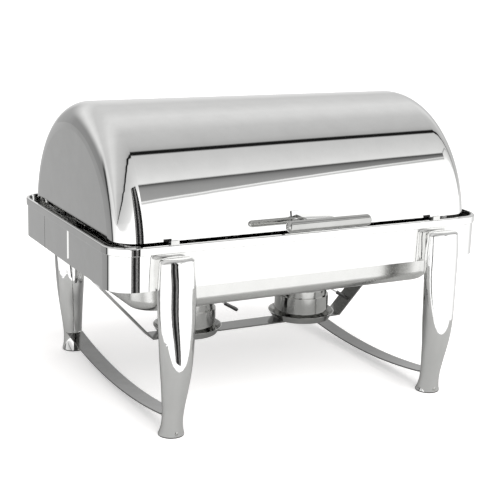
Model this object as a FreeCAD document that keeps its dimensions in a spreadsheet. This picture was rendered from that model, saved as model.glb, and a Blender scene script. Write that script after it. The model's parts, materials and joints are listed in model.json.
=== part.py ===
import FreeCAD, Part
import math
import os

import Sketcher
from FreeCAD import Placement, Rotation, Vector

# A full-size rectangular roll-top chafing dish.  X runs along its length, -Y is the front,
# Z is up, and the feet stand on Z = 0.  The cover turns about an axis parallel to X.

doc = FreeCAD.newDocument("roll_top_chafer")

DIMENSIONS = [
    # the rectangular band that carries everything
    ("band_length", 600.0), ("band_depth", 390.0), ("band_corner", 38.0), ("band_sheet", 1.5),
    ("band_bottom", 206.0), ("band_top", 266.0),
    ("rim_drop", 11.0), ("rim_proud", 1.8), ("rim_width", 9.0), ("rim_end_lip", 2.0), ("rim_sheet", 1.2),
    ("rim_turn", 6.0), ("rim_turn_corner", 32.0), ("rim_mouth_corner", 30.8),
    ("rim_top_round", 1.6), ("rim_foot_round", 0.8),
    # the rolling cover: a thin drum with rounded ends, cut off above its own axis
    ("axis_height", 249.5), ("cover_radius", 183.5), ("cover_length", 576.0), ("cover_round", 38.0),
    ("cover_sheet", 1.2), ("cover_edge", 268.5),
    # its pivots
    ("ear_sheet", 2.0), ("ear_half", 16.0), ("ear_top", 302.0), ("pin_radius", 4.0),
    ("pin_inner_end", 271.0), ("collar_inner", 291.3), ("collar_radius", 7.0), ("bush_radius", 8.0),
    ("bracket_sheet", 2.0), ("bracket_half", 22.0), ("bracket_bottom", 237.5), ("bracket_top", 262.0),
    ("run_gap", 0.05), ("side_gap", 0.3), ("stop_radius", 3.0), ("stop_reach", 30.0),
    ("plate_thick", 1.2), ("plate_bottom", 214.0), ("plate_height", 41.0), ("nut_radius", 6.0),
    ("ear_rivet_head", 3.2), ("ear_rivet_dome", 1.4), ("ear_rivet_shank", 1.6),
    # the screws that hold the pivot brackets and the burner shelf to the band's ends
    ("end_screw_head", 4.0), ("end_screw_dome", 2.2), ("end_screw_shank", 2.0),
    ("bracket_screw_offset", 16.5), ("bracket_screw_level", 256.0),
    ("strap_screw_offset", 9.0), ("strap_screw_level", 229.0),
    # the handle on the cover's front edge
    ("handle_y", 236.0), ("handle_z", 287.5), ("handle_radius", 8.0), ("handle_length", 122.0),
    ("cap_length", 6.0), ("web_half", 21.0), ("web_sheet", 5.0), ("screw_offset", 21.0),
    ("saddle_length", 56.0), ("saddle_height", 15.0), ("saddle_sheet", 2.5), ("saddle_clearance", 0.02),
    ("handle_screw_head", 4.5), ("handle_screw_dome", 2.4), ("handle_screw_shank", 2.2),
    ("handle_screw_length", 6.0), ("handle_screw_seat", 0.6),
    # the cradle that holds the water pan inside the cover's sweep
    ("cradle_length", 560.0), ("cradle_depth", 344.0), ("cradle_corner", 60.0), ("cradle_sheet", 2.0),
    ("cradle_bottom", 226.0), ("cradle_top", 256.0), ("link_offset", 120.0), ("link_width", 30.0),
    ("link_sheet", 2.5), ("link_level", 238.0), ("link_drop", 16.0), ("link_climb", 14.0),
    # the pans
    ("pan_sheet", 1.2), ("water_bottom", 160.0), ("food_depth", 65.0),
    # the burner shelf and what stands on it
    ("strap_width", 34.0), ("strap_sheet", 2.0), ("strap_top", 75.0), ("strap_bend", 164.0),
    ("strap_meet", 219.0), ("strap_tab_top", 236.0),
    ("burner_offset", 101.0), ("saucer_base", 46.0), ("saucer_rim", 53.0), ("saucer_height", 11.0),
    ("saucer_sheet", 1.2), ("cup_radius", 43.0), ("cup_height", 36.8), ("cup_sheet", 1.0),
    ("neck_radius", 40.0), ("neck_height", 11.5), ("flame_radius", 22.0), ("damper_radius", 25.0),
    ("damper_pivot", 33.0), ("rivet_radius", 2.0), ("rivet_head", 4.0), ("saucer_rivet_offset", 10.0),
    # the legs and the bowed stretchers between them
    ("leg_x", 215.0), ("leg_wall", 1.5), ("bow_width", 26.0), ("bow_sheet", 2.0), ("bow_low", 13.0),
    ("bow_rise", 16.6), ("bow_reach", 189.0), ("glide_lift", 1.5), ("glide_radius", 17.0),
    ("plug_centre", 197.0), ("plug_height", 9.0), ("glide_screw_level", 6.0), ("glide_screw_reach", 17.2),
    ("leg_screw_head", 5.0), ("leg_screw_dome", 2.6), ("leg_screw_shank", 2.5), ("leg_screw_length", 8.0),
    ("leg_screw_low", 222.0), ("leg_screw_high", 243.0),
    # the rests that the closed cover sits on
    ("rest_x", 212.0), ("rest_width", 12.0), ("rest_front", 195.5), ("rest_back", 179.5),
    ("rest_sheet", 0.8), ("rest_height", 6.0),
    # moves the model so that its footprint is centred: the handle reaches further than the rear legs
    ("centre_shift", 6.0),
]

sizes = doc.addObject("Spreadsheet::Sheet", "Sizes")
for row, (word, number) in enumerate(DIMENSIONS, start=1):
    sizes.set("A%d" % row, word)
    sizes.set("B%d" % row, repr(number))
    sizes.setAlias("B%d" % row, word)
doc.recompute()

SIZE = {word: float(sizes.get(word)) for word, number in DIMENSIONS}
SIDES = (("left", -1), ("right", 1))
ENDS = (("front", -1), ("rear", 1))
finished = []


def cell(expression):
    """Puts the sheet's name before each dimension's word in an expression."""
    out = []
    word = ""
    for letter in expression + " ":
        if letter.isalpha() or letter == "_":
            word += letter
            continue
        out.append("Sizes." + word if word in SIZE else word)
        word = ""
        out.append(letter)
    return "".join(out).strip()


def number(expression):
    return float(sizes.evalExpression(cell(str(expression))))


def bind(thing, **sized):
    for attribute, expression in sized.items():
        thing.setExpression(attribute.replace("__", "."), cell(str(expression)))


def keep(thing, label):
    """Marks an object as a finished sub-part and names it."""
    thing.Label = label
    finished.append(thing)
    return thing


def box(name, size, at):
    """A block: its three sizes and its lowest corner, all as expressions."""
    block = doc.addObject("Part::Box", name)
    bind(block, Length=size[0], Width=size[1], Height=size[2])
    bind(block, Placement__Base__x=at[0], Placement__Base__y=at[1], Placement__Base__z=at[2])
    return block


def rod(name, radius, length, at, along="z"):
    """A round bar from a point, along a positive axis."""
    turn = {"x": Rotation(Vector(0, 1, 0), 90), "y": Rotation(Vector(1, 0, 0), -90), "z": Rotation()}
    bar = doc.addObject("Part::Cylinder", name)
    bar.Placement = Placement(Vector(0, 0, 0), turn[along])
    bind(bar, Radius=radius, Height=length)
    bind(bar, Placement__Base__x=at[0], Placement__Base__y=at[1], Placement__Base__z=at[2])
    return bar


def soften(name, base, level, radius):
    """Rounds every edge that lies flat at one height."""
    doc.recompute()
    flat = []
    for index, edge in enumerate(base.Shape.Edges, start=1):
        bounds = edge.BoundBox
        if abs(bounds.ZMin - number(level)) < 1e-4 and abs(bounds.ZMax - number(level)) < 1e-4:
            flat.append((index, number(radius), number(radius)))
    rounded = doc.addObject("Part::Fillet", name)
    rounded.Base = base
    rounded.Edges = flat
    return rounded


def cut(name, base, tool):
    part = doc.addObject("Part::Cut", name)
    part.Base = base
    part.Tool = tool
    return part


def fuse(name, pieces):
    part = doc.addObject("Part::MultiFuse", name)
    part.Shapes = pieces
    return part


def group(name, pieces):
    part = doc.addObject("Part::Compound", name)
    part.Links = pieces
    return part


def solid(label, shape, at=None):
    """A finished sub-part whose shape is built from the sheet's numbers."""
    part = doc.addObject("Part::Feature", label)
    part.Shape = shape
    if at is not None:
        part.Placement = at
    return keep(part, label)


def rounded_block(name, length, depth, height, bottom, corner):
    """A block about the Z axis with its four upright edges rounded."""
    block = box(name + "_block", (length, depth, height), ("-(%s)/2" % length, "-(%s)/2" % depth, bottom))
    doc.recompute()
    upright = []
    for index, edge in enumerate(block.Shape.Edges, start=1):
        first, last = edge.Vertexes[0].Point, edge.Vertexes[-1].Point
        if abs(first.x - last.x) + abs(first.y - last.y) < 1e-6:
            upright.append((index, number(corner), number(corner)))
    rounded = doc.addObject("Part::Fillet", name)
    rounded.Base = block
    rounded.Edges = upright
    return rounded


def outline(body, name, role, points):
    """A closed sketch of straight lines, each corner held by two expressions."""
    plane = [item for item in body.Origin.OriginFeatures if item.Role == role][0]
    sketch = body.newObject("Sketcher::SketchObject", name)
    sketch.AttachmentSupport = [(plane, "")]
    sketch.MapMode = "FlatFace"
    corners = [Vector(number(across), number(up), 0) for across, up in points]
    count = len(corners)
    for index in range(count):
        sketch.addGeometry(Part.LineSegment(corners[index], corners[(index + 1) % count]))
    for index in range(count):
        sketch.addConstraint(Sketcher.Constraint("Coincident", index, 2, (index + 1) % count, 1))
    for index, point in enumerate(points):
        for kind, expression, value in (("DistanceX", point[0], corners[index].x),
                                        ("DistanceY", point[1], corners[index].y)):
            held = sketch.addConstraint(Sketcher.Constraint(kind, -1, 1, index, 1, value))
            sketch.setExpression("Constraints[%d]" % held, cell(str(expression)))
    return sketch


def turned(label, points, at=None):
    """A lathe-turned sub-part about Z: its section's corners as (radius, height)."""
    body = doc.addObject("PartDesign::Body", label)
    sketch = outline(body, label + "_section", "XZ_Plane", points)
    spin = body.newObject("PartDesign::Revolution", label + "_spin")
    spin.Profile = sketch
    spin.ReferenceAxis = (sketch, ["V_Axis"])
    spin.Angle = 360
    if at is not None:
        bind(body, Placement__Base__x=at[0], Placement__Base__y=at[1], Placement__Base__z=at[2])
    return keep(body, label)


def folded(label, role, points, width, at=None):
    """A folded strip: its section's corners, padded both ways to its full width."""
    body = doc.addObject("PartDesign::Body", label)
    sketch = outline(body, label + "_section", role, points)
    pad = body.newObject("PartDesign::Pad", label + "_pad")
    pad.Profile = sketch
    pad.Midplane = True
    bind(pad, Length=width)
    if at is not None:
        bind(body, Placement__Base__x=at[0], Placement__Base__y=at[1], Placement__Base__z=at[2])
    return keep(body, label)


def rounded_wire(half_length, half_depth, corner, height):
    """A rounded rectangle at a height, as one closed wire."""
    a, b, r = half_length, half_depth, corner
    diagonal = r * (1 - math.sqrt(0.5))
    edges = []
    runs = [((-a + r, -b), (a - r, -b)), ((a, -b + r), (a, b - r)),
            ((a - r, b), (-a + r, b)), ((-a, b - r), (-a, -b + r))]
    bends = [(a - diagonal, -b + diagonal), (a - diagonal, b - diagonal),
             (-a + diagonal, b - diagonal), (-a + diagonal, -b + diagonal)]
    for index in range(4):
        start, end = runs[index]
        following = runs[(index + 1) % 4][0]
        edges.append(Part.LineSegment(Vector(*start, height), Vector(*end, height)).toShape())
        edges.append(Part.Arc(Vector(*end, height), Vector(*bends[index], height),
                              Vector(*following, height)).toShape())
    return Part.Wire(edges)


def tub(top, bottom, top_level, bottom_level, base_round):
    """A tapered tub body with a rounded bottom edge; top and bottom are (length, depth, corner)."""
    body = Part.makeLoft([rounded_wire(*top, top_level), rounded_wire(*bottom, bottom_level)], True, True)
    low = [edge for edge in body.Edges if edge.BoundBox.ZMax < bottom_level + 0.01]
    return body.makeFillet(base_round, low)


def inset(plan, thickness):
    return tuple(value - thickness for value in plan)


def pan(label, top, bottom, rim, levels, sheet, base_round):
    """An open pan with a flat rim around its mouth."""
    rim_top, floor = levels
    outer = tub(top, bottom, rim_top, floor, base_round)
    mouth = rounded_wire(*inset(top, sheet), rim_top + 1)
    hollow = tub(inset(top, sheet), inset(bottom, sheet), rim_top, floor + sheet, base_round - sheet)
    flange = Part.Face(rounded_wire(*rim, rim_top - sheet)).extrude(Vector(0, 0, sheet))
    lift = Part.Face(mouth).extrude(Vector(0, 0, -1 - sheet / 2))
    return solid(label, outer.fuse(flange).cut(hollow).cut(lift).removeSplitter())


# ---- the band and its folded rim ----

def make_band():
    outer = rounded_block("band_outer", "band_length", "band_depth",
                          "band_top - rim_sheet - band_bottom", "band_bottom", "band_corner")
    inner = rounded_block("band_inner", "band_length - 2*band_sheet", "band_depth - 2*band_sheet",
                          "band_top - band_bottom + 2", "band_bottom - 1", "band_corner - band_sheet")
    keep(cut("frame_band", outer, inner), "frame_band")


def make_rim():
    outer = rounded_block("rim_outer", "band_length + 2*rim_proud", "band_depth + 2*rim_proud",
                          "rim_drop", "band_top - rim_drop", "band_corner + rim_proud")
    outer = soften("rim_softened", outer, "band_top", "rim_top_round")
    outer = soften("rim_outer_softened", outer, "band_top - rim_drop", "rim_foot_round")
    room = rounded_block("rim_room", "band_length", "band_depth", "rim_drop - rim_sheet",
                         "band_top - rim_drop", "band_corner")
    turn_outer = "2*(rim_width - rim_proud - rim_sheet)"
    turn = rounded_block("rim_turn_outer", "band_length - " + turn_outer, "band_depth - " + turn_outer,
                         "rim_turn", "band_top - rim_turn", "rim_turn_corner")
    mouth_gap = "2*(rim_width - rim_proud)"
    mouth = rounded_block("rim_mouth", "band_length - 2*rim_end_lip", "band_depth - " + mouth_gap,
                          "rim_drop + 2", "band_top - rim_drop - 1", "rim_mouth_corner")
    shell = cut("rim_shell", outer, room)
    whole = fuse("rim_whole", [shell, turn])
    keep(cut("frame_rim", whole, mouth), "frame_rim")


# ---- legs, stretchers and feet ----

# height, half-width along X, half-depth along Y, distance of the section's centre from the middle plane
LEG_SECTIONS = [
    (252.0, 25.4, 16.2, 208.6), (228.0, 26.6, 17.0, 209.2), (180.0, 27.0, 17.9, 209.6),
    (140.0, 24.9, 20.4, 210.4), (104.0, 22.2, 21.8, 210.0), (76.0, 19.4, 19.4, 207.8),
    (45.0, 16.1, 16.1, 203.1), (25.0, 14.8, 14.8, 200.4), (10.0, 16.0, 16.0, 198.2),
    (1.5, 18.4, 18.4, 196.4),
]
LEG_TOP_ROUND = 6.0


def leg_solid(thinner, top_cap, extra, top_round):
    """A front leg about X = 0, as a loft through ellipses with a rounded crown."""
    rings = []
    for height, half_x, half_y, centre in LEG_SECTIONS:
        level = height - top_cap if height == LEG_SECTIONS[0][0] else height
        level = level - extra if height == LEG_SECTIONS[-1][0] else level
        along, deep = half_x - thinner, half_y - thinner
        major = Vector(1, 0, 0) if along >= deep else Vector(0, 1, 0)
        middle = Vector(0, -centre, level)
        if abs(along - deep) < 1e-6:
            curve = Part.Circle(middle, Vector(0, 0, 1), along)
        else:
            curve = Part.Ellipse(middle + major * max(along, deep),
                                 middle + Vector(0, 0, 1).cross(major) * min(along, deep), middle)
        ring = curve.toShape()
        rings.append(Part.Wire(ring))
    loft = Part.makeLoft(rings, True, False)
    crown = LEG_SECTIONS[0][0] - top_cap
    return loft.makeFillet(top_round, [edge for edge in loft.Edges if edge.BoundBox.ZMin > crown - 0.5])


def make_legs():
    wall = SIZE["leg_wall"]
    outer = leg_solid(0.0, 0.0, 0.0, LEG_TOP_ROUND)
    inner = leg_solid(wall, wall, 1.0, LEG_TOP_ROUND - wall)
    shell = outer.cut(inner)
    band_face = SIZE["band_depth"] / 2
    notch = Part.makeBox(120, 60, 80, Vector(-60, -band_face, SIZE["band_bottom"]))
    lip = Part.makeBox(120, 60, 20, Vector(-60, -band_face - SIZE["rim_proud"],
                                           SIZE["band_top"] - SIZE["rim_drop"]))
    leg = shell.cut(notch).cut(lip)
    for end, front in ENDS:
        for side, across in SIDES:
            shape = leg.copy()
            if front > 0:
                shape = shape.mirror(Vector(0, 0, 0), Vector(0, 1, 0))
            at = Placement(Vector(across * SIZE["leg_x"], 0, 0), Rotation())
            solid("leg_%s_%s" % (end, side), shape, at)


def four_feet(maker):
    """One solid at each foot, joined as a group of separate solids."""
    pieces = []
    foot = LEG_SECTIONS[-1][3]
    for end, front in ENDS:
        for side, across in SIDES:
            pieces.append(maker("%s_%s" % (end, side), across, front, foot))
    return pieces


def make_glides():
    def glide(tag, across, front, foot):
        at = ("%d*leg_x" % across, front * foot, "0")
        pad = rod("glide_pad_" + tag, "glide_radius + 1", "glide_lift", at)
        plug_at = ("%d*leg_x" % across, "%d*plug_centre" % front, "glide_lift")
        plug = rod("glide_plug_" + tag, "glide_radius - 3", "plug_height", plug_at)
        return fuse("glide_" + tag, [pad, plug])
    keep(group("foot_glides", four_feet(glide)), "foot_glides")


def make_glide_screws():
    def screw(tag, across, front, foot):
        dome, length = 1.2, 5.0
        reach = foot + SIZE["glide_screw_reach"]
        head_y = reach if front > 0 else -reach - dome
        shank_y = reach - length if front > 0 else -reach
        x = "%d*leg_x" % across
        head = rod("glide_screw_head_" + tag, "2.6", dome, (x, head_y, "glide_screw_level"), "y")
        shank = rod("glide_screw_shank_" + tag, "1.3", length, (x, shank_y, "glide_screw_level"), "y")
        return fuse("glide_screw_" + tag, [head, shank])
    keep(group("glide_screws", four_feet(screw)), "glide_screws")


def make_bows():
    """Flat strips bowed downwards between the front and the rear legs on each side."""
    reach, rise = SIZE["bow_reach"], SIZE["bow_rise"]
    low, thick, width = SIZE["bow_low"], SIZE["bow_sheet"], SIZE["bow_width"]
    upper = Part.Arc(Vector(-width / 2, -reach, low + rise), Vector(-width / 2, 0, low),
                     Vector(-width / 2, reach, low + rise))
    under = Part.Arc(Vector(-width / 2, -reach, low + rise - thick), Vector(-width / 2, 0, low - thick),
                     Vector(-width / 2, reach, low + rise - thick))
    ends = [Part.LineSegment(upper.value(upper.LastParameter), under.value(under.LastParameter)),
            Part.LineSegment(under.value(under.FirstParameter), upper.value(upper.FirstParameter))]
    wire = Part.Wire([upper.toShape(), ends[0].toShape(), under.toShape(), ends[1].toShape()])
    strip = Part.Face(wire).extrude(Vector(width, 0, 0))
    for side, across in SIDES:
        solid("side_bow_" + side, strip.copy(), Placement(Vector(across * SIZE["leg_x"], 0, 0), Rotation()))


def make_leg_screws():
    """Two screws through the band into each leg, heads inside."""
    screws = []
    for end, front in ENDS:
        for side, across in SIDES:
            for level in ("leg_screw_low", "leg_screw_high"):
                tag = "%s_%s_%s" % (end, side, level)
                x = "%d*leg_x" % across
                inner = "band_depth/2 - band_sheet - leg_screw_dome"
                head_y = inner if front > 0 else "-(%s) - leg_screw_dome" % inner
                shank_y = inner if front > 0 else "-(%s) - leg_screw_length" % inner
                head = rod("leg_screw_head_" + tag, "leg_screw_head", "leg_screw_dome",
                           (x, head_y, level), "y")
                shank = rod("leg_screw_shank_" + tag, "leg_screw_shank", "leg_screw_length",
                            (x, shank_y, level), "y")
                screws.append(fuse("leg_screw_" + tag, [head, shank]))
    keep(group("leg_screws", screws), "leg_screws")


# ---- the cover, its pivots and its handle ----

def drum(name, radius, half, bend):
    """A drum about the cover's axis with rounded ends."""
    barrel = rod(name + "_barrel", radius, "2*(%s)" % half, ("-(%s)" % half, 0, "axis_height"), "x")
    doc.recompute()
    rims = [(index, number(bend), number(bend)) for index, edge in enumerate(barrel.Shape.Edges, start=1)
            if hasattr(edge.Curve, "Radius")]
    rounded = doc.addObject("Part::Fillet", name)
    rounded.Base = barrel
    rounded.Edges = rims
    return rounded


def make_cover():
    outer = drum("cover_drum", "cover_radius", "cover_length/2", "cover_round")
    inner = drum("cover_room", "cover_radius - cover_sheet", "cover_length/2 - cover_sheet",
                 "cover_round - cover_sheet")
    below = box("cover_below", ("cover_length + 20", "2*cover_radius + 20", "cover_radius + 40"),
                ("-cover_length/2 - 10", "-cover_radius - 10", "cover_edge - cover_radius - 40"))
    keep(cut("cover_trimmed", cut("cover_shell", outer, inner), below), "roll_cover")


def along_x(across, near, far):
    """Start and length of a piece that runs between two distances from the middle, on either side."""
    start = near if across > 0 else "-(%s)" % far
    return start, "(%s) - (%s)" % (far, near)


def make_pivots():
    inner_face = "cover_length/2 - cover_sheet"
    wall = "band_length/2 - band_sheet"
    stops = []
    spacers = []
    for side, across in SIDES:
        # the ear hangs from the cover's end and turns on the pin
        start, width = along_x(across, inner_face + " - ear_sheet", inner_face)
        plate = box("ear_plate_" + side, (width, "2*ear_half", "ear_top - axis_height"),
                    (start, "-ear_half", "axis_height"))
        disc = rod("ear_disc_" + side, "ear_half", width, (start, 0, "axis_height"), "x")
        start, width = along_x(across, inner_face + " - 10", inner_face + " + 10")
        hole = rod("ear_hole_" + side, "pin_radius + run_gap", width, (start, 0, "axis_height"), "x")
        ear = cut("ear_" + side, fuse("ear_body_" + side, [plate, disc]), hole)
        keep(ear, "pivot_ear_" + side)
        # bush between the ear and the pin's collar
        start, width = along_x(across, inner_face, "collar_inner - side_gap")
        ring = rod("bush_ring_" + side, "bush_radius", width, (start, 0, "axis_height"), "x")
        start, width = along_x(across, inner_face + " - 5", "collar_inner + 5")
        bore = rod("bush_bore_" + side, "pin_radius + run_gap", width, (start, 0, "axis_height"), "x")
        keep(cut("bush_" + side, ring, bore), "pivot_bush_" + side)
        # the pin, with a collar against its bracket
        start, width = along_x(across, "pin_inner_end", "collar_inner + 1")
        stem = rod("pin_stem_" + side, "pin_radius", width, (start, 0, "axis_height"), "x")
        start, width = along_x(across, "collar_inner", wall + " - bracket_sheet")
        collar = rod("pin_collar_" + side, "collar_radius", width, (start, 0, "axis_height"), "x")
        keep(fuse("pin_" + side, [stem, collar]), "pivot_pin_" + side)
        # bracket inside the band's end, pressed panel outside it
        start, width = along_x(across, wall + " - bracket_sheet", wall)
        keep(box("bracket_" + side, (width, "2*bracket_half", "bracket_top - bracket_bottom"),
                 (start, "-bracket_half", "bracket_bottom")), "pivot_bracket_" + side)
        start, width = along_x(across, "band_length/2", "band_length/2 + plate_thick")
        keep(box("panel_" + side, (width, "2*bracket_half", "plate_height"),
                 (start, "-bracket_half", "plate_bottom")), "end_plate_" + side)
        # spacer and stop between the cradle and the ear
        start, width = along_x(across, "cradle_length/2", inner_face + " - ear_sheet - side_gap")
        ring = rod("spacer_ring_" + side, "bush_radius", width, (start, 0, "axis_height"), "x")
        start, width = along_x(across, "cradle_length/2 - 5", "cover_length/2 + 5")
        bore = rod("spacer_bore_" + side, "pin_radius", width, (start, 0, "axis_height"), "x")
        spacers.append(cut("spacer_" + side, ring, bore))
        start, width = along_x(across, "cradle_length/2", inner_face + " - 0.6")
        level = "axis_height - ear_half - stop_radius - side_gap"
        stops.append(rod("stop_" + side, "stop_radius", width, (start, "stop_reach", level), "x"))
    keep(group("pivot_spacers", spacers), "pivot_spacers")
    keep(group("open_stops", stops), "open_stops")


# where three rivets join each ear to the cover's end, as (across, height)
EAR_RIVETS = [(-10, 276), (10, 276), (0, 293)]


def end_screws(name, across, face, offset, level):
    """Two screws from a face inside the band's end, out through the band."""
    pair = []
    for spot, y in enumerate(("-" + offset, offset)):
        start, width = along_x(across, face + " - end_screw_dome", face)
        head = rod("%s_head_%d" % (name, spot), "end_screw_head", width, (start, y, level), "x")
        start, width = along_x(across, face + " - 1", "band_length/2")
        shank = rod("%s_shank_%d" % (name, spot), "end_screw_shank", width, (start, y, level), "x")
        pair.append(fuse("%s_%d" % (name, spot), [head, shank]))
    return pair


def make_pivot_fasteners():
    inner_face = "cover_length/2 - cover_sheet"
    ear_face = inner_face + " - ear_sheet"
    wall = "band_length/2 - band_sheet"
    rivets = []
    screws = []
    nuts = []
    for side, across in SIDES:
        for spot, (y, z) in enumerate(EAR_RIVETS):
            start, width = along_x(across, ear_face + " - ear_rivet_dome", ear_face)
            head = rod("ear_rivet_head_%s_%d" % (side, spot), "ear_rivet_head", width, (start, y, z), "x")
            start, width = along_x(across, ear_face + " - 1", inner_face)
            shank = rod("ear_rivet_shank_%s_%d" % (side, spot), "ear_rivet_shank", width, (start, y, z), "x")
            rivets.append(fuse("ear_rivet_%s_%d" % (side, spot), [head, shank]))
        screws += end_screws("bracket_screw_" + side, across, wall + " - bracket_sheet",
                             "bracket_screw_offset", "bracket_screw_level")
        start, width = along_x(across, "pin_inner_end", "cradle_length/2 - cradle_sheet")
        nut = rod("pin_nut_outer_" + side, "nut_radius", width, (start, 0, "axis_height"), "x")
        start, width = along_x(across, "pin_inner_end - 1", "cradle_length/2")
        bore = rod("pin_nut_bore_" + side, "pin_radius", width, (start, 0, "axis_height"), "x")
        nuts.append(cut("pin_nut_" + side, nut, bore))
    keep(group("ear_rivets", rivets), "ear_rivets")
    keep(group("bracket_screws", screws), "bracket_screws")
    keep(group("pin_nuts", nuts), "pin_nuts")


def make_handle():
    level = "handle_z"
    y = "-handle_y"
    keep(rod("handle_rod", "handle_radius", "handle_length", ("-handle_length/2", y, level), "x"),
         "handle_bar")
    for side, across in SIDES:
        dome = doc.addObject("Part::Ellipsoid", "cap_dome_" + side)
        bind(dome, Radius1="handle_radius", Radius2="cap_length", Radius3="handle_radius")
        half = box("cap_half_" + side, ("cap_length + 1", "4*handle_radius", "4*handle_radius"),
                   ("-cap_length - 1", "-2*handle_radius", "-2*handle_radius"))
        part = doc.addObject("Part::Common", "cap_" + side)
        part.Base = dome
        part.Tool = half
        part.Placement = Placement(Vector(0, 0, 0), Rotation(Vector(0, 0, 1), 180 if across > 0 else 0))
        bind(part, Placement__Base__x="%d*handle_length/2" % across, Placement__Base__y=y,
             Placement__Base__z=level)
        keep(part, "handle_cap_" + side)
    # a saddle that follows the cover's curve, and a flat web from it to the bar
    screws = []
    surface = "sqrt(cover_radius^2 - (handle_z - axis_height)^2)"
    for side, across in SIDES:
        x = "%d*screw_offset" % across
        inside = "-(%s) + cover_sheet + handle_screw_seat" % surface
        head = rod("handle_screw_head_" + side, "handle_screw_head", "handle_screw_dome",
                   (x, inside, level), "y")
        shank = rod("handle_screw_shank_" + side, "handle_screw_shank", "handle_screw_length",
                    (x, inside + " - handle_screw_length + 1", level), "y")
        screws.append(fuse("handle_screw_" + side, [head, shank]))
    web = box("handle_web", ("2*web_half", "handle_y - (%s) + 2" % surface, "web_sheet"),
              ("-web_half", "-handle_y", level + " - web_sheet/2"))
    saddle = rod("saddle_drum", "cover_radius + saddle_sheet", "saddle_length",
                 ("-saddle_length/2", 0, "axis_height"), "x")
    window = box("saddle_window", ("saddle_length + 2", "60", "saddle_height"),
                 ("-saddle_length/2 - 1", "-cover_radius - 20", "handle_z - saddle_height/2"))
    patch = doc.addObject("Part::Common", "saddle_patch")
    patch.Base = saddle
    patch.Tool = window
    room = rod("saddle_room", "cover_radius + saddle_clearance", "saddle_length + 4",
               ("-saddle_length/2 - 2", 0, "axis_height"), "x")
    bar_room = rod("bar_room", "handle_radius", "handle_length", ("-handle_length/2", y, level), "x")
    bracket = cut("bracket_saddle", fuse("bracket_blank", [patch, web]), room)
    keep(cut("bracket_to_bar", bracket, bar_room), "handle_bracket")
    keep(group("handle_screws", screws), "handle_screws")


# ---- cradle and pans ----

def make_cradle():
    outer = rounded_block("cradle_outer", "cradle_length", "cradle_depth", "cradle_top - cradle_bottom",
                          "cradle_bottom", "cradle_corner")
    inner = rounded_block("cradle_inner", "cradle_length - 2*cradle_sheet", "cradle_depth - 2*cradle_sheet",
                          "cradle_top - cradle_bottom + 2", "cradle_bottom - 1",
                          "cradle_corner - cradle_sheet")
    ring = cut("cradle_ring", outer, inner)
    bore = rod("cradle_bore", "pin_radius", "cradle_length + 10", ("-cradle_length/2 - 5", 0, "axis_height"),
               "x")
    keep(cut("cradle", ring, bore), "pan_cradle")
    # Z-shaped links join the cradle's front to the band, where the cover never passes
    front, face = "-(band_depth/2 - band_sheet)", "-cradle_depth/2"
    level, sheet = "link_level", "link_sheet"
    for side, across in SIDES:
        folded("cradle_link_" + side, "YZ_Plane", [
            (front, level + " - link_drop"), (front + " + " + sheet, level + " - link_drop"),
            (front + " + " + sheet, level), (face, level), (face, level + " + link_climb"),
            (face + " - " + sheet, level + " + link_climb"), (face + " - " + sheet, level + " + " + sheet),
            (front, level + " + " + sheet)],
            "link_width", ("%d*link_offset" % across, 0, 0))


# each pan's mouth, base and rim as (half length, half depth, corner), and its base's round
WATER_PAN = [(258.5, 160.0, 46.0), (250.0, 154.0, 40.0), (279.0, 171.0, 60.0), 18.0]
FOOD_PAN = [(252.5, 151.0, 46.0), (241.0, 140.0, 38.0), (265.0, 162.5, 34.0), 14.0]


def make_pans():
    sheet = SIZE["pan_sheet"]
    water_rim = SIZE["cradle_top"] + sheet
    food_rim = water_rim + sheet
    for label, plans, rim, floor in (("water_pan", WATER_PAN, water_rim, SIZE["water_bottom"]),
                                     ("food_pan", FOOD_PAN, food_rim, food_rim - SIZE["food_depth"])):
        mouth, base, flange, base_round = plans
        pan(label, mouth, base, flange, (rim, floor), sheet, base_round)


# ---- burner shelf and burners ----

def make_strap():
    run = "strap_top"
    low = "strap_top - strap_sheet"
    wall = "(band_length/2 - band_sheet)"
    inner = wall + " - strap_sheet"
    slope_gain = "1.2"
    right = [("strap_bend", run), (inner, "strap_meet"), (inner, "strap_tab_top"),
             (wall, "strap_tab_top"), (wall, "strap_meet - " + slope_gain),
             ("strap_bend + 0.9", low)]
    left = [("-(%s)" % across, up) for across, up in reversed(right)]
    folded("burner_strap", "XZ_Plane", right + left, "strap_width")
    screws = []
    for side, across in SIDES:
        screws += end_screws("strap_screw_" + side, across, inner, "strap_screw_offset", "strap_screw_level")
    keep(group("strap_screws", screws), "strap_screws")


def make_saucers():
    wall = "saucer_sheet"
    rivets = []
    for side, across in SIDES:
        turned("burner_saucer_" + side, [
            (0, 0), ("saucer_base", 0), ("saucer_rim", "saucer_height"),
            ("saucer_rim - 1.4", "saucer_height"), ("saucer_base - 0.7", wall), (0, wall)],
            ("%d*burner_offset" % across, 0, "strap_top"))
        for spot, y in enumerate(("-saucer_rivet_offset", "saucer_rivet_offset")):
            rivets.append(rod("saucer_rivet_%s_%d" % (side, spot), "rivet_radius", "strap_sheet + 1",
                              ("%d*burner_offset" % across, y, "strap_top - strap_sheet - 1")))
    keep(group("saucer_rivets", rivets), "saucer_rivets")


# the way each damper's lever points, in degrees from +X
LEVER_TURN = {"left": -25.0, "right": -39.0}
DAMPER_SHEET = 1.2
ARM_WIDTH = 8.0
LEVER_WIDTH = 6.0
LEVER_SLOPE = 27.0
LEVER_START = 45.2
LEVER_LENGTH = 30.0
GRIP_HALF = 4.5
GRIP_WALL = 1.1
GRIP_START = 12.0
GRIP_TIP = 5.7


def slanted(shape):
    """Tips a lever piece downwards and moves it to the end of the damper's arm."""
    shape.rotate(Vector(0, 0, 0), Vector(0, 1, 0), LEVER_SLOPE)
    shape.translate(Vector(LEVER_START, 0, 0))
    return shape


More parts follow.
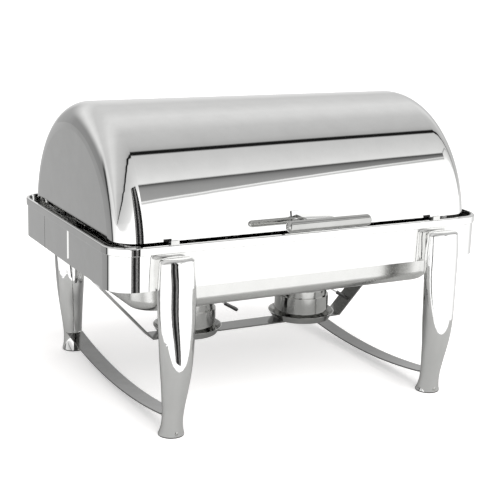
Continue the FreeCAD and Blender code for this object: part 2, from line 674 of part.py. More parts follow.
def damper_shape(sheet):
    """The swing-away cover: a disc, an arm over its rivet and a lever that slopes down outside."""
    pivot = SIZE["damper_pivot"]
    disc = Part.makeCylinder(SIZE["damper_radius"], sheet)
    arm = Part.makeBox(LEVER_START + 0.8, ARM_WIDTH, sheet, Vector(0, -ARM_WIDTH / 2, 0))
    lever = slanted(Part.makeBox(LEVER_LENGTH, LEVER_WIDTH, sheet, Vector(0, -LEVER_WIDTH / 2, 0)))
    hole = Part.makeCylinder(SIZE["rivet_radius"] + SIZE["run_gap"], 10, Vector(pivot, 0, -5))
    return disc.fuse(arm).fuse(lever).cut(hole)


def grip_shape(sheet):
    """A heat-proof grip moulded round the outer half of the lever, with an oval tip."""
    thick = sheet + 2 * GRIP_WALL
    block = Part.makeBox(LEVER_LENGTH - GRIP_START, 2 * GRIP_HALF, thick,
                         Vector(GRIP_START, -GRIP_HALF, -GRIP_WALL))
    tip = Part.makeCylinder(GRIP_TIP, thick, Vector(LEVER_LENGTH, 0, -GRIP_WALL))
    room = Part.makeBox(LEVER_LENGTH, LEVER_WIDTH, sheet, Vector(0, -LEVER_WIDTH / 2, 0))
    return slanted(block).fuse(slanted(tip)).cut(slanted(room))


def make_burners():
    cup_bottom = SIZE["strap_top"] + SIZE["saucer_sheet"]
    neck_bottom = cup_bottom + SIZE["cup_height"]
    neck_top = neck_bottom + SIZE["neck_height"]
    for side, across in SIDES:
        x = "%d*burner_offset" % across
        turned("burner_cup_" + side, [
            (0, 0), ("cup_radius - 1.2", 0), ("cup_radius", 1.2), ("cup_radius", "cup_height"),
            ("cup_radius - cup_sheet", "cup_height"), ("cup_radius - cup_sheet", "cup_sheet + 0.8"),
            ("cup_radius - cup_sheet - 0.8", "cup_sheet"), (0, "cup_sheet")],
            (x, 0, "strap_top + saucer_sheet"))
        turned("burner_neck_" + side, [
            ("flame_radius", "neck_height - 1"), ("neck_radius - 1", "neck_height - 1"),
            ("neck_radius - 1", 0), ("cup_radius", 0), ("cup_radius", 1.2), ("neck_radius", 1.2),
            ("neck_radius", "neck_height"), ("flame_radius", "neck_height")],
            (x, 0, "strap_top + saucer_sheet + cup_height"))
        turn = Placement(Vector(across * SIZE["burner_offset"], 0, neck_top + 0.1),
                         Rotation(Vector(0, 0, 1), LEVER_TURN[side]))
        solid("damper_" + side, damper_shape(DAMPER_SHEET), turn)
        solid("lever_grip_" + side, grip_shape(DAMPER_SHEET), turn)
        shank = Part.makeCylinder(SIZE["rivet_radius"], 3.4, Vector(SIZE["damper_pivot"], 0, -1.6))
        head = Part.makeCylinder(SIZE["rivet_head"], 1.2, Vector(SIZE["damper_pivot"], 0, 1.4))
        solid("damper_rivet_" + side, shank.fuse(head), turn)


# ---- small rests on the rim that the closed cover sits on ----

def make_rests():
    for side, across in SIDES:
        folded("cover_rest_" + side, "YZ_Plane", [
            ("-rest_front", "band_top"), ("-rest_back", "band_top"), ("-rest_back", "band_top + rest_sheet"),
            ("-rest_front + rest_sheet", "band_top + rest_sheet"),
            ("-rest_front + rest_sheet", "band_top + rest_height"),
            ("-rest_front", "band_top + rest_height")],
            "rest_width", ("%d*rest_x" % across, 0, 0))
        x = "%d*rest_x - rest_width/2 + 1" % across
        under = box("pad_under_" + side, ("rest_width - 2", "rest_front - rest_sheet - rest_back - 1", "1.4"),
                    (x, "-rest_front + rest_sheet", "band_top + rest_sheet"))
        behind = box("pad_behind_" + side, ("rest_width - 2", "2", "rest_height - rest_sheet"),
                     (x, "-rest_front + rest_sheet", "band_top + rest_sheet"))
        keep(fuse("pad_" + side, [under, behind]), "rest_pad_" + side)


for make in (make_band, make_rim, make_legs, make_glides, make_glide_screws, make_bows, make_leg_screws,
             make_cover, make_pivots, make_pivot_fasteners, make_handle, make_cradle, make_pans, make_strap,
             make_saucers, make_burners, make_rests):
    make()
doc.recompute()

for part in finished:
    bound = dict(part.ExpressionEngine)
    across = bound.get("Placement.Base.y", bound.get(".Placement.Base.y", repr(part.Placement.Base.y)))
    part.setExpression("Placement.Base.y", "%s + Sizes.centre_shift" % across)
doc.recompute()

for thing in doc.Objects:
    if "Invalid" in thing.State or "Error" in thing.State:
        raise RuntimeError("%s failed: %s" % (thing.Label, thing.State))
for part in finished:
    if part.Shape.isNull() or not part.Shape.isValid():
        raise RuntimeError("%s has no valid shape" % part.Label)

os.makedirs("parts", exist_ok=True)
for part in finished:
    part.Shape.exportStep("parts/%s.step" % part.Label)
print("%d sub-parts written" % len(finished))
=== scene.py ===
# %% [markdown]
# # A roll-top chafing dish in polished stainless steel
# The frame comes from CAD and keeps its exact shape.  This lesson gives it a camera, a bright
# studio, and finishes that behave like the real metals and plastics, then adds the small
# pieces that a maker would add last: weld beads, screw recesses and rolled edges.

import json
import math

import bmesh
import bpy
from mathutils import Matrix, Vector


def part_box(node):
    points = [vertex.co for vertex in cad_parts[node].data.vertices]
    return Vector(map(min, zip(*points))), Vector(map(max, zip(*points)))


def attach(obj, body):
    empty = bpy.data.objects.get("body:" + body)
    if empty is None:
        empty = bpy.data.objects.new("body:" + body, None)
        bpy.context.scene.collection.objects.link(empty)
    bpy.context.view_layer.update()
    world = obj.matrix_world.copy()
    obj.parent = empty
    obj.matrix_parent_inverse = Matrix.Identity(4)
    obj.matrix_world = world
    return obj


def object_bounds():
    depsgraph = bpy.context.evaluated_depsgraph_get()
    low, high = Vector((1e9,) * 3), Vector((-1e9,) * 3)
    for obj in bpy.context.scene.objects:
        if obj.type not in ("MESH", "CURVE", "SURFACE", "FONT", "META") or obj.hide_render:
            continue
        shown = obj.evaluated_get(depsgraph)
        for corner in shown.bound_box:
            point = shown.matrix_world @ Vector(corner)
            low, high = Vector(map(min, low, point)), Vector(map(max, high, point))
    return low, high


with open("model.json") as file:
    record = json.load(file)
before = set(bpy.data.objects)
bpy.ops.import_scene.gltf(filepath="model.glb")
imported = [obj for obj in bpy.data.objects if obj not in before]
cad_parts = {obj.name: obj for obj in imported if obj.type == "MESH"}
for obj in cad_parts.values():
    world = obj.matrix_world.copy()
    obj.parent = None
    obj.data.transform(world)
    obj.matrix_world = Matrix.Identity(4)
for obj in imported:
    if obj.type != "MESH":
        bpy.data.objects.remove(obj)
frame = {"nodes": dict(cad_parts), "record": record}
RECORD = frame["record"]
NODES = frame["nodes"]
MM = 0.001


loaded_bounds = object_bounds()
LOW, HIGH = Vector(loaded_bounds[0]), Vector(loaded_bounds[1])
CENTRE = (LOW + HIGH) / 2
print("frame: %d nodes, %.0f x %.0f x %.0f mm" % (len(NODES), *((HIGH - LOW) / MM)))

# %% [markdown]
# ## The camera
# A product camera with a longish 86 mm lens stands a little above the dish, to the left of
# its front.  It aims at a point near the middle of the dish and is rolled slightly.

# %% Camera
CAMERA_TURN = math.radians(-28.2)
CAMERA_RISE = math.radians(14.18)
CAMERA_ROLL = math.radians(1.72)
CAMERA_DISTANCE = 1854 * MM
camera_aim = CENTRE + Vector((3.7, 4.1, -22.8)) * MM

camera_data = bpy.data.cameras.new("product_camera")
camera_data.lens = 85.8
camera_data.sensor_width = 36
camera_data.clip_end = 200
camera = bpy.data.objects.new("product_camera", camera_data)
bpy.context.scene.collection.objects.link(camera)
outward = Vector((math.sin(CAMERA_TURN) * math.cos(CAMERA_RISE),
                  -math.cos(CAMERA_TURN) * math.cos(CAMERA_RISE),
                  math.sin(CAMERA_RISE)))
facing = outward.to_track_quat("Z", "Y").to_matrix() @ Matrix.Rotation(CAMERA_ROLL, 3, "Z")
camera.matrix_world = Matrix.Translation(camera_aim + outward * CAMERA_DISTANCE) @ facing.to_4x4()
bpy.context.scene.camera = camera
bpy.context.scene.view_settings.view_transform = "Standard"
print("camera at", [round(v, 3) for v in camera.location])

# %% [markdown]
# ## One helper for shader nodes, one for colours
# A procedural finish is a small network of nodes.  One function that adds a node, gives it its
# settings and links its inputs keeps each network readable.  Colours are written as the sRGB
# hex values a paint chart would use, and turned to the linear values that light obeys.

# %% Node and colour helpers
def linear(hex_colour):
    """An sRGB hex colour as linear red, green, blue and alpha."""
    out = []
    for start in (1, 3, 5):
        value = int(hex_colour[start:start + 2], 16) / 255
        out.append(value / 12.92 if value <= 0.04045 else ((value + 0.055) / 1.055) ** 2.4)
    return (*out, 1.0)


def add(tree, kind, settings=None, inputs=None):
    """Adds one node: its own settings, then each input as a value or as a socket to link."""
    node = tree.nodes.new(kind)
    for name, value in (settings or {}).items():
        setattr(node, name, value)
    for name, value in (inputs or {}).items():
        if isinstance(value, bpy.types.NodeSocket):
            tree.links.new(value, node.inputs[name])
        else:
            node.inputs[name].default_value = value
    return node


def fill_ramp(node, stops):
    """Gives a colour ramp its stops, as (position, grey or colour)."""
    ramp = node.color_ramp
    while len(ramp.elements) > 1:
        ramp.elements.remove(ramp.elements[-1])
    for index, (position, tone) in enumerate(stops):
        element = ramp.elements[0] if index == 0 else ramp.elements.new(position)
        element.position = position
        element.color = tone if isinstance(tone, tuple) else (tone, tone, tone, 1.0)


# %% [markdown]
# ## The studio
# Polished steel shows little of its own: nearly all that is seen is the room.  So the room is
# designed first.  It is brightest at a white wall in front and dims upwards to a dark gap
# between two diffusers; a softer ceiling and a pale wall lie behind.  These edges run roughly
# along the dish, so ramps over the angle round the long axis describe them, and one more ramp,
# round the dish at table height, tones the walls.

# %% World
# each stop is (degrees round the long axis from the front horizon, brightness)
ROOM = [
    (-180, 0.88), (-140, 0.92), (-70, 1.15), (-14, 1.25), (44, 1.20), (50, 0.82), (60, 0.70),
    (70, 0.62), (77.5, 0.58), (78.3, 0.010), (81.6, 0.010), (82.6, 0.42), (88, 0.50), (104, 0.57),
    (116, 0.70), (126, 0.74), (140, 0.64), (154, 0.62), (163, 0.74), (170, 0.80), (180, 0.78),
]
# a second gap between the diffusers is a wedge: its upper and lower edges lean differently
WEDGE = [(-180, 0.30), (36, 0.30), (47.7, 0.24), (48.1, 0.02), (49.2, 0.02), (49.6, 1.0), (180, 1.0)]
BELOW_WEDGE = [(-180, 1.0), (35.1, 1.0), (35.5, 0.0), (180, 0.0)]
WEDGE_LIP = [(-180, 1.0), (33.2, 1.0), (33.5, 0.40), (34.0, 0.40), (34.3, 1.0), (180, 1.0)]
# (degrees round the dish at table height, from the front towards the left, brightness)
SURROUND = [
    (-180, 0.52), (-166, 0.92), (-140, 0.92), (-110, 0.75), (-84, 1.0), (104, 1.0), (111, 0.80),
    (114, 0.05), (118, 0.05), (122, 0.30), (142, 0.34), (156, 0.36), (164, 0.45), (180, 0.52),
]
# how many degrees an edge leans over from straight ahead to straight right, and the sideways
# part of the direction where it doesn't lean
CEILING_LEAN, WEDGE_LEAN, WEDGE_FOOT_LEAN = 32, 54, 104
LEAN_CENTRE = 0.4
# the wedge fades out between these sideways parts, and the table-height walls between these heights
WEDGE_END = (0.36, 0.30)
WALL_TOP = (0.20, 0.52)
ROOM_BRIGHTNESS = 1.1


def turn_position(degrees):
    return (degrees + 180) / 360


world = bpy.data.worlds.new("studio_room")
bpy.context.scene.world = world
world.use_nodes = True
room = world.node_tree
room.nodes.clear()
way = add(room, "ShaderNodeTexCoord").outputs["Generated"]
parts_of_way = add(room, "ShaderNodeSeparateXYZ", inputs={"Vector": way}).outputs
forward = add(room, "ShaderNodeMath", {"operation": "MULTIPLY"}, {0: parts_of_way["Y"], 1: -1.0}).outputs[0]
angle = add(room, "ShaderNodeMath", {"operation": "ARCTAN2"}, {0: parts_of_way["Z"], 1: forward}).outputs[0]


def room_ramp(stops, radians):
    """The tones of a ramp whose stops are at degrees from minus to plus half a turn."""
    place = add(room, "ShaderNodeMapRange", None,
                {"Value": radians, "From Min": -math.pi, "From Max": math.pi}).outputs["Result"]
    ramp = add(room, "ShaderNodeValToRGB", None, {"Fac": place})
    fill_ramp(ramp, [(turn_position(degrees), tone) for degrees, tone in stops])
    return ramp.outputs["Color"]


def leaning_ramp(stops, slope):
    """A ramp over the angle round the long axis, leaning over towards the right."""
    turn = math.radians(slope)
    lean = add(room, "ShaderNodeMath", {"operation": "MULTIPLY_ADD"},
               {0: parts_of_way["X"], 1: -turn, 2: turn * LEAN_CENTRE}).outputs[0]
    return room_ramp(stops, add(room, "ShaderNodeMath", {"operation": "ADD"}, {0: angle, 1: lean}).outputs[0])


def blend(kind, first, second, amount=1.0):
    return add(room, "ShaderNodeMix", {"data_type": "RGBA", "blend_type": kind},
               {"Factor": amount, 6: first, 7: second}).outputs[2]


past_its_end = add(room, "ShaderNodeMapRange", None,
                   {"Value": parts_of_way["X"], "From Min": WEDGE_END[0],
                    "From Max": WEDGE_END[1]}).outputs["Result"]
wedge = blend("LIGHTEN", leaning_ramp(WEDGE, WEDGE_LEAN), leaning_ramp(BELOW_WEDGE, WEDGE_FOOT_LEAN))
edged_wedge = blend("MULTIPLY", wedge, leaning_ramp(WEDGE_LIP, WEDGE_FOOT_LEAN))
ended_wedge = blend("LIGHTEN", edged_wedge, past_its_end)
overhead = blend("MULTIPLY", leaning_ramp(ROOM, CEILING_LEAN), ended_wedge)
backward = add(room, "ShaderNodeMath", {"operation": "MULTIPLY"}, {0: parts_of_way["X"], 1: -1.0}).outputs[0]
bearing = add(room, "ShaderNodeMath", {"operation": "ARCTAN2"}, {0: backward, 1: forward}).outputs[0]
low_wall = add(room, "ShaderNodeMapRange", {"interpolation_type": "SMOOTHSTEP"},
               {"Value": parts_of_way["Z"], "From Min": WALL_TOP[0], "From Max": WALL_TOP[1],
                "To Min": 1.0, "To Max": 0.0}).outputs["Result"]
walled = blend("MULTIPLY", overhead, room_ramp(SURROUND, bearing), low_wall)
glow = add(room, "ShaderNodeBackground", None, {"Color": walled, "Strength": ROOM_BRIGHTNESS}).outputs[0]
add(room, "ShaderNodeOutputWorld", None, {"Surface": glow})
print("room: %d tones overhead, %d round the table" % (len(ROOM), len(SURROUND)))

# %% [markdown]
# The floor is a wide sheet of white paper.  The steel doesn't see the paper itself but a grey
# table top in its place, as on a set where the paper is lit and the table isn't; each sheet
# is hidden from the other kind of ray.

# %% Floor and table
def panel(name, corners):
    """A flat four-cornered piece of the studio."""
    mesh = bpy.data.meshes.new(name)
    mesh.from_pydata(corners, [], [(0, 1, 2, 3)])
    piece = bpy.data.objects.new(name, mesh)
    bpy.context.scene.collection.objects.link(piece)
    return piece


def level_sheet(name, half_x, half_y, level):
    return panel(name, [(x * half_x, y * half_y, level) for x, y in ((-1, -1), (1, -1), (1, 1), (-1, 1))])


def start_material(name):
    """A new material with one Principled shader; returns the material, its tree and the shader."""
    material = bpy.data.materials.new(name)
    material.use_nodes = True
    tree = material.node_tree
    tree.nodes.clear()
    shader = add(tree, "ShaderNodeBsdfPrincipled")
    add(tree, "ShaderNodeOutputMaterial", None, {"Surface": shader.outputs[0]})
    return material, tree, shader


def paper_material(name, light_tone, dark_tone, glow_strength=0.0):
    """Matt paper with the faint cloudiness of its fibres; given a glow strength the sheet also glows, painted
    light that lifts the shadows on it.
    """
    material, tree, shader = start_material(name)
    where = add(tree, "ShaderNodeTexCoord").outputs["Object"]
    cloud = add(tree, "ShaderNodeTexNoise", None,
                {"Vector": where, "Scale": 3.0, "Detail": 3.0}).outputs["Fac"]
    tone = add(tree, "ShaderNodeValToRGB", None, {"Fac": cloud})
    fill_ramp(tone, [(0.3, linear(dark_tone)), (0.7, linear(light_tone))])
    tree.links.new(tone.outputs["Color"], shader.inputs["Base Color"])
    shader.inputs["Roughness"].default_value = 0.9
    shader.inputs["Specular IOR Level"].default_value = 0.0
    shader.inputs["Emission Color"].default_value = linear("#FFFFFF")
    shader.inputs["Emission Strength"].default_value = glow_strength
    return material


def only_in_reflections(thing):
    thing.visible_camera = False
    thing.visible_diffuse = False
    thing.visible_shadow = False


FLOOR_HALF = 90
TABLE_HALF_X, TABLE_HALF_Y = 0.62, 0.40
floor = level_sheet("paper_floor", FLOOR_HALF, FLOOR_HALF, LOW.z - 0.2 * MM)
# the paper glows with painted light, with no lamp behind it, and this lifts the soft shadow under the dish
# towards white
floor.data.materials.append(paper_material("white_paper_with_painted_glow", "#F4F2F1", "#F1EFEE", 0.42))
floor.visible_glossy = False
table = level_sheet("grey_table", TABLE_HALF_X, TABLE_HALF_Y, LOW.z - 0.1 * MM)
table.data.materials.append(paper_material("grey_table_top", "#BEBEBD", "#B4B4B3"))
only_in_reflections(table)
print("floor %d m wide, table %.2f x %.2f m" % (2 * FLOOR_HALF, 2 * TABLE_HALF_X, 2 * TABLE_HALF_Y))

# %% [markdown]
# A striped black card stands in front of the left legs.  Nobody sees it, but its reflection
# draws the dark streaks down the legs and the rounded corners, which give bright steel its
# shape.

# %% Black card
CARD_LEFT, CARD_RIGHT = (-345, -510), (-172, -490)
CARD_HEIGHT = 700
card_corners = [(*CARD_LEFT, 0), (*CARD_RIGHT, 0), (*CARD_RIGHT, CARD_HEIGHT), (*CARD_LEFT, CARD_HEIGHT)]
card = panel("black_card", [Vector(corner) * MM for corner in card_corners])
only_in_reflections(card)

# a wave texture of scale 1 repeats about every 0.314 m
WAVE_REPEAT = 0.314
CARD_STRIPE = 90 * MM
card_stock, card_tree, card_shader = start_material("striped_black_card")
card_where = add(card_tree, "ShaderNodeTexCoord").outputs["Object"]
stripe = add(card_tree, "ShaderNodeTexWave", {"bands_direction": "X", "wave_profile": "SIN"},
             {"Vector": card_where, "Scale": WAVE_REPEAT / CARD_STRIPE, "Distortion": 1.5,
              "Detail": 1.0}).outputs["Fac"]
stripe_tone = add(card_tree, "ShaderNodeValToRGB", None, {"Fac": stripe})
fill_ramp(stripe_tone, [(0.15, linear("#0E0E0E")), (0.6, linear("#3C3C3C")), (0.95, linear("#8A8A8A"))])
card_tree.links.new(stripe_tone.outputs["Color"], card_shader.inputs["Base Color"])
card_shader.inputs["Roughness"].default_value = 0.9
card.data.materials.append(card_stock)

# %% [markdown]
# One very soft lamp stands in for the diffusers overhead.  It lights the paper and draws the
# soft shadow under the dish, but stays out of the steel, which already mirrors the room.

# %% Lamp
lamp_data = bpy.data.lights.new("overhead_softbox", "SUN")
lamp_data.energy = 1.9
lamp_data.angle = math.radians(50)
lamp = bpy.data.objects.new("overhead_softbox", lamp_data)
lamp.rotation_euler = (math.radians(38), math.radians(6), 0)
lamp.visible_glossy = False
bpy.context.scene.collection.objects.link(lamp)

# %% [markdown]
# ## Mirror-polished stainless steel
# The band, cover, legs and pans are pressed from chromium-nickel stainless sheet and buffed to
# a mirror.  A metal has no separate diffuse colour: its base colour is the tint of what it
# reflects.  Buffing leaves two marks at very different scales, and both are drawn: hair-fine
# wheel lines that soften the mirror a little, and a slow waviness left by the press.

# %% Mirror steel
# real wheel lines are a tenth of this wide, too fine to show; each is BUFF_LENGTH times as long
BUFF_LINE = 0.35 * MM
BUFF_LENGTH = 8
HAZE_PATCH = 30 * MM
PRESS_WAVE = 55 * MM
BUFF_DEPTH = 0.02 * MM
PRESS_DEPTH = 0.5 * MM


def polished_steel(name, tone, haze, rough, line_strength, wave_strength, grain=(1, 1, 1)):
    """Polished steel, with lines drawn out along the axis where the grain's number is smallest."""
    material, tree, shader = start_material(name)
    where = add(tree, "ShaderNodeTexCoord").outputs["Object"]
    stretched = add(tree, "ShaderNodeMapping", None, {"Vector": where, "Scale": grain}).outputs[0]
    lines = add(tree, "ShaderNodeTexNoise", None,
                {"Vector": stretched, "Scale": 1 / (BUFF_LINE * BUFF_LENGTH), "Detail": 3.0,
                 "Roughness": 0.6}).outputs["Fac"]
    wave = add(tree, "ShaderNodeTexNoise", None,
               {"Vector": where, "Scale": 1 / PRESS_WAVE, "Detail": 1.0}).outputs["Fac"]
    haze_cloud = add(tree, "ShaderNodeTexNoise", None,
                     {"Vector": where, "Scale": 1 / HAZE_PATCH, "Detail": 4.0,
                      "Roughness": 0.65}).outputs["Fac"]
    tint = add(tree, "ShaderNodeValToRGB", None, {"Fac": haze_cloud})
    fill_ramp(tint, [(0.35, linear(tone)), (0.75, linear(haze))])
    tree.links.new(tint.outputs["Color"], shader.inputs["Base Color"])
    blur = add(tree, "ShaderNodeMapRange", None,
               {"Value": lines, "From Min": 0.3, "From Max": 0.7, "To Min": rough * 0.6,
                "To Max": rough * 1.5}).outputs["Result"]
    tree.links.new(blur, shader.inputs["Roughness"])
    fine = add(tree, "ShaderNodeBump", None,
               {"Height": lines, "Strength": line_strength, "Distance": BUFF_DEPTH}).outputs[0]
    slow = add(tree, "ShaderNodeBump", None,
               {"Height": wave, "Strength": wave_strength, "Distance": PRESS_DEPTH,
                "Normal": fine}).outputs[0]
    tree.links.new(slow, shader.inputs["Normal"])
    shader.inputs["Metallic"].default_value = 1.0
    return material


# tone, hazy tone, roughness, strength of the lines, strength of the waves, then the grain
ALONG, LOOSE_ALONG, AROUND = (1, 8, 8), (1, 6, 6), (1, 1, 12)
mirror_steel = polished_steel("mirror_polished_stainless", "#F0F0EF", "#EAEAE9", 0.025, 0.08, 0.08, ALONG)
rolled_steel = polished_steel("bright_rolled_stainless", "#DCDCDA", "#CFCFCD", 0.14, 0.10, 0.08, LOOSE_ALONG)
satin_steel = polished_steel("satin_drawn_stainless", "#DCDCDA", "#D7D7D5", 0.20, 0.02, 0.08, LOOSE_ALONG)
handle_steel = polished_steel("polished_bar_stainless", "#C2C2C0", "#B6B6B4", 0.05, 0.08, 0.05)
# this steel's dark tone is painted shade: it darkens the side bows under the pans, and the burner straps and
# the band's weld share it
painted_dark_strip = polished_steel("annealed_strip_with_painted_shade", "#8E8E8D", "#828281", 0.08, 0.12, 0.15,
                             LOOSE_ALONG)
spun_steel = polished_steel("spun_stainless_cup", "#C4C4C2", "#B2B2B0", 0.10, 0.16, 0.10, AROUND)
interior_steel = polished_steel("brushed_stainless_interior", "#8E8E8C", "#7C7C7A", 0.34, 0.05, 0.05,
                                LOOSE_ALONG)
turned_steel = polished_steel("turned_stainless_fastener", "#CFCFCC", "#BDBDBA", 0.20, 0.15, 0.05)

# %% [markdown]
# ## Black nylon
# Glides, bushes and cover rests are moulded nylon.  A fine moulding grain breaks up its sheen.

# %% Nylon
# the grain of a real mould is nearer 0.2 mm, too fine to show, so it is drawn coarser
NYLON_GRAIN = 0.8 * MM
black_nylon, nylon_tree, nylon = start_material("moulded_black_nylon")
nylon_where = add(nylon_tree, "ShaderNodeTexCoord").outputs["Object"]
nylon_grain = add(nylon_tree, "ShaderNodeTexNoise", None,
                  {"Vector": nylon_where, "Scale": 1 / NYLON_GRAIN, "Detail": 2.0}).outputs["Fac"]
nylon_tone = add(nylon_tree, "ShaderNodeValToRGB", None, {"Fac": nylon_grain})
fill_ramp(nylon_tone, [(0.3, linear("#161616")), (0.7, linear("#1F1F1E"))])
nylon_tree.links.new(nylon_tone.outputs["Color"], nylon.inputs["Base Color"])
nylon_bump = add(nylon_tree, "ShaderNodeBump", None,
                 {"Height": nylon_grain, "Strength": 0.35, "Distance": 0.05 * MM}).outputs[0]
nylon_tree.links.new(nylon_bump, nylon.inputs["Normal"])
nylon.inputs["Roughness"].default_value = 0.45
nylon.inputs["IOR"].default_value = 1.53

# %% [markdown]
# ## Heat-proof grips
# The dampers' levers end in a phenolic grip, a harder and glossier plastic than nylon, with
# the faint flow marks of a compression moulding.

# %% Phenolic
FLOW_MARK = 4 * MM
black_phenolic, grip_tree, grip = start_material("moulded_black_phenolic")
grip_where = add(grip_tree, "ShaderNodeTexCoord").outputs["Object"]
grip_flow = add(grip_tree, "ShaderNodeTexNoise", None,
                {"Vector": grip_where, "Scale": 1 / FLOW_MARK, "Detail": 4.0,
                 "Distortion": 1.2}).outputs["Fac"]
grip_tone = add(grip_tree, "ShaderNodeValToRGB", None, {"Fac": grip_flow})
fill_ramp(grip_tone, [(0.35, linear("#121110")), (0.7, linear("#1D1B19"))])
grip_tree.links.new(grip_tone.outputs["Color"], grip.inputs["Base Color"])
grip_blur = add(grip_tree, "ShaderNodeMapRange", None,
                {"Value": grip_flow, "From Min": 0.3, "From Max": 0.7, "To Min": 0.22,
                 "To Max": 0.36}).outputs["Result"]
grip_tree.links.new(grip_blur, grip.inputs["Roughness"])
grip.inputs["IOR"].default_value = 1.6

# %% Give every frame node its finish
FINISH = {
    "mirror_steel": mirror_steel, "brushed_steel": rolled_steel, "satin_steel": satin_steel,
    "black_enamel": black_phenolic, "fastener_steel": turned_steel, "black_plastic": black_nylon,
}
# parts whose steel differs from the rest of their slot, by how their names start
OWN_FINISH = [
    (("burner_strap", "side_bow"), painted_dark_strip),
    (("handle_bar", "handle_cap"), handle_steel),
    (("burner_cup", "burner_neck", "burner_saucer"), spun_steel),
    (("pan_cradle", "cradle_link", "pivot_bracket", "pivot_ear"), interior_steel),
]
for entry in RECORD["subparts"]:
    node = NODES[entry["node"]]
    finish = FINISH[entry["material_slot"]]
    for beginnings, own in OWN_FINISH:
        if entry["node"].startswith(beginnings):
            finish = own
    node.data.materials.clear()
    node.data.materials.append(finish)
print("finished %d nodes" % len(RECORD["subparts"]))

# %% [markdown]
# ## Pieces made by hand
# What is left is the work a metal shop does last: screw heads domed and stamped, beads of
# weld, edges rolled so that they don't cut.  Each piece is a mesh built vertex by vertex with
# `bmesh`, and its place is read from the frame, so it sits exactly on the part it belongs to.

# %% Turning a mesh into a piece
def make_piece(name, build, body, finish):
    """Writes a bmesh into a smooth-shaded object that rides on a body."""
    bmesh.ops.recalc_face_normals(build, faces=build.faces)
    for face in build.faces:
        face.smooth = True
    mesh = bpy.data.meshes.new(name)
    build.to_mesh(mesh)
    build.free()
    mesh.materials.append(finish)
    piece = bpy.data.objects.new(name, mesh)
    bpy.context.scene.collection.objects.link(piece)
    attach(piece, body)


BEAD_SIDES = 10


def sweep(build, path, radius):
    """Adds a round bead that follows a path of points, closed at both ends."""
    rings = []
    for index, point in enumerate(path):
        before = path[max(index - 1, 0)]
        after = path[min(index + 1, len(path) - 1)]
        along = (after - before).normalized()
        up = Vector((1, 0, 0)) if abs(along.z) > 0.9 else Vector((0, 0, 1))
        aside = along.cross(up).normalized()
        up = aside.cross(along)
        turns = [math.tau * step / BEAD_SIDES for step in range(BEAD_SIDES)]
        rings.append([build.verts.new(point + radius * (math.cos(turn) * aside + math.sin(turn) * up))
                      for turn in turns])
    for here, there in zip(rings, rings[1:]):
        for step in range(BEAD_SIDES):
            following = (step + 1) % BEAD_SIDES
            build.faces.new((here[step], here[following], there[following], there[step]))
    build.faces.new(rings[0])
    build.faces.new(rings[-1])


def separate_solids(node):
    """The box of each separate solid in a frame node, as (lowest corner, highest corner)."""
    scan = bmesh.new()
    scan.from_mesh(NODES[node].data)
    bmesh.ops.remove_doubles(scan, verts=scan.verts, dist=0.001 * MM)
    left = set(scan.verts)
    boxes = []
    while left:
        reached = {left.pop()}
        unvisited = list(reached)
        while unvisited:
            for edge in unvisited.pop().link_edges:
                for vert in edge.verts:
                    if vert in left:
                        left.remove(vert)
                        reached.add(vert)
                        unvisited.append(vert)
        places = [vert.co for vert in reached]
        boxes.append((Vector([min(place[axis] for place in places) for axis in range(3)]),
                      Vector([max(place[axis] for place in places) for axis in range(3)])))
    scan.free()
    return boxes


# %% [markdown]
# A stamped head starts as a square grid bent into a disc, so the grid lines run along the arms
# of the recess and its edges stay straight.  Points inside the cross are pushed down.

# %% Domed heads
HEAD_GRID = 26
ARM_HALF = 0.14
ARM_REACH = 0.62
RECESS = 0.9
HEAD_SINK = 0.02 * MM


def dome(build, middle, outward, radius, rise, stamped):
    """Adds a domed head, with a cross recess if it is stamped."""
    aside = outward.orthogonal().normalized()
    upward = outward.cross(aside)
    grid = {}
    for row in range(HEAD_GRID + 1):
        for column in range(HEAD_GRID + 1):
            u, v = 2 * column / HEAD_GRID - 1, 2 * row / HEAD_GRID - 1
            across, along = u * math.sqrt(1 - v * v / 2), v * math.sqrt(1 - u * u / 2)
            height = rise * (1 - across ** 2 - along ** 2)
            thin, long = sorted((abs(across), abs(along)))
            if stamped and thin < ARM_HALF and long < ARM_REACH:
                height -= rise * RECESS
            grid[row, column] = build.verts.new(middle + radius * (across * aside + along * upward)
                                                + height * outward)
    for row in range(HEAD_GRID):
        for column in range(HEAD_GRID):
            build.faces.new((grid[row, column], grid[row, column + 1],
                             grid[row + 1, column + 1], grid[row + 1, column]))


def domes_on(node, body, axis, inwards, rise, stamped=True):
    """Puts a dome on the head of every fastener in a node."""
    build = bmesh.new()
    boxes = separate_solids(node)
    for low, high in boxes:
        middle = (low + high) / 2
        away = 1 if middle[axis] > CENTRE[axis] else -1
        outward = Vector((0, 0, 0))
        outward[axis] = -away if inwards else away
        middle[axis] = high[axis] if outward[axis] > 0 else low[axis]
        radius = (high[(axis + 1) % 3] - low[(axis + 1) % 3]) / 2
        dome(build, middle - outward * HEAD_SINK, outward, radius, rise, stamped)
    make_piece(node + "_heads", build, body, turned_steel)
    print("%s: %d domed heads" % (node, len(boxes)))


X_AXIS, Y_AXIS = 0, 1
domes_on("leg_screws", "stand", Y_AXIS, True, 1.2 * MM)
domes_on("strap_screws", "stand", X_AXIS, True, 1.0 * MM)
domes_on("bracket_screws", "stand", X_AXIS, True, 1.0 * MM)
domes_on("glide_screws", "stand", Y_AXIS, False, 0.6 * MM)
domes_on("handle_screws", "cover", Y_AXIS, True, 1.0 * MM)
domes_on("ear_rivets", "cover", X_AXIS, True, 0.9 * MM, stamped=False)

# %% [markdown]
# ## Beads
# The band is one strip whose ends meet at the left of the dish and are butt-welded: a line
# just proud of the sheet.  Each stretcher is welded to its legs, and the cover's cut edge is
# folded in and rolled.

# %% The band's butt weld
band_low, band_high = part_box("frame_band")
SEAM_OFFSET = 87 * MM
SEAM_RADIUS = 0.9 * MM
SEAM_PROUD = 0.35 * MM
SEAM_STEPS = 24
RIPPLE = 0.15 * MM
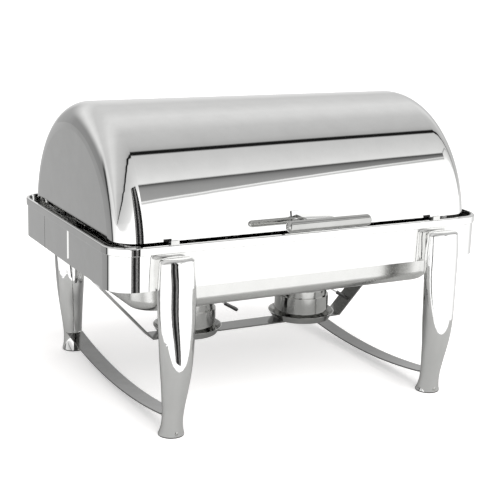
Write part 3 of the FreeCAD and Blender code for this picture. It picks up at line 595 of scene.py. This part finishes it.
# radians of ripple from one point of a bead to the next
SEAM_RIPPLE_TURN, WELD_RIPPLE_TURN = 2.2, 1.9
seam_x = band_low[0] + SEAM_RADIUS - SEAM_PROUD
seam = bmesh.new()
sweep(seam, [Vector((seam_x, CENTRE.y + SEAM_OFFSET + RIPPLE * math.sin(step * SEAM_RIPPLE_TURN),
                     band_low[2] + (band_high[2] - band_low[2]) * step / SEAM_STEPS))
             for step in range(SEAM_STEPS + 1)], SEAM_RADIUS)
make_piece("band_butt_weld", seam, "stand", painted_dark_strip)

# %% Welds where the stretchers meet the legs
WELD_RADIUS = 1.1 * MM
WELD_DROP = 0.9 * MM
WELD_STEPS = 16
LEG_RADIUS = 15.0 * MM
# the leg leans out, so at the weld its middle is this much further out than at the foot
LEG_LEAN = 4.6 * MM
feet = separate_solids("foot_glides")
for side in ("left", "right"):
    welds = bmesh.new()
    bow_low, bow_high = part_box("side_bow_" + side)
    middle_x = (bow_low[0] + bow_high[0]) / 2
    for towards in (1, -1):
        foot_low, foot_high = next((low, high) for low, high in feet
                                   if low.x < middle_x < high.x and (low.y - CENTRE.y) * towards < 0)
        leg_y = (foot_low.y + foot_high.y) / 2 - towards * LEG_LEAN
        path = []
        for step in range(WELD_STEPS + 1):
            across = (2 * step / WELD_STEPS - 1) * (bow_high[0] - bow_low[0]) / 2
            reach = math.sqrt(LEG_RADIUS ** 2 - across ** 2) + RIPPLE * math.sin(step * WELD_RIPPLE_TURN)
            path.append(Vector((middle_x + across, leg_y + towards * reach, bow_high[2] - WELD_DROP)))
        sweep(welds, path, WELD_RADIUS)
    make_piece("stretcher_welds_" + side, welds, "stand", turned_steel)

# %% The cover's rolled hem
cover_low, cover_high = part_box("roll_cover")
axis_low, axis_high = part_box("pivot_pin_left")
AXIS_HEIGHT = (axis_low[2] + axis_high[2]) / 2
COVER_RADIUS = cover_high[2] - AXIS_HEIGHT
COVER_HALF = (cover_high[0] - cover_low[0]) / 2
COVER_BEND = 38 * MM
COVER_SHEET = 1.2 * MM
HEM_RADIUS = 1.5 * MM
HEM_SETBACK = COVER_SHEET + HEM_RADIUS
HEM_LIFT = 0.4 * MM
CORNER_STEPS = 12
# the hem stops short of the pivots, whose open stops pass close by
EAR_CLEAR = 42 * MM


def cover_half_depth(x, rise, setback):
    """Half the cover's depth at a place along it and a height above its axis."""
    into_bend = max(0.0, abs(x) - (COVER_HALF - COVER_BEND))
    bend = COVER_BEND - setback
    inner = COVER_RADIUS - COVER_BEND + math.sqrt(max(0.0, bend ** 2 - into_bend ** 2))
    return math.sqrt(inner ** 2 - rise ** 2)


hem_rise = cover_low[2] - AXIS_HEIGHT + HEM_RADIUS + HEM_LIFT
axis_y = (axis_low[1] + axis_high[1]) / 2
right_half = [(COVER_HALF - HEM_SETBACK, EAR_CLEAR)]
for step in range(CORNER_STEPS + 1):
    turn = math.pi / 2 * step / CORNER_STEPS
    x = COVER_HALF - COVER_BEND + (COVER_BEND - HEM_SETBACK) * math.cos(turn)
    right_half.append((x, cover_half_depth(x, hem_rise, HEM_SETBACK)))
half_loop = right_half + [(-x, y) for x, y in reversed(right_half)]
hem = bmesh.new()
for towards in (-1, 1):
    sweep(hem, [Vector((x, axis_y + towards * y, AXIS_HEIGHT + hem_rise)) for x, y in half_loop], HEM_RADIUS)
make_piece("cover_hem", hem, "cover", mirror_steel)
print("hem %.1f mm above the floor" % ((AXIS_HEIGHT + hem_rise - LOW.z) / MM))
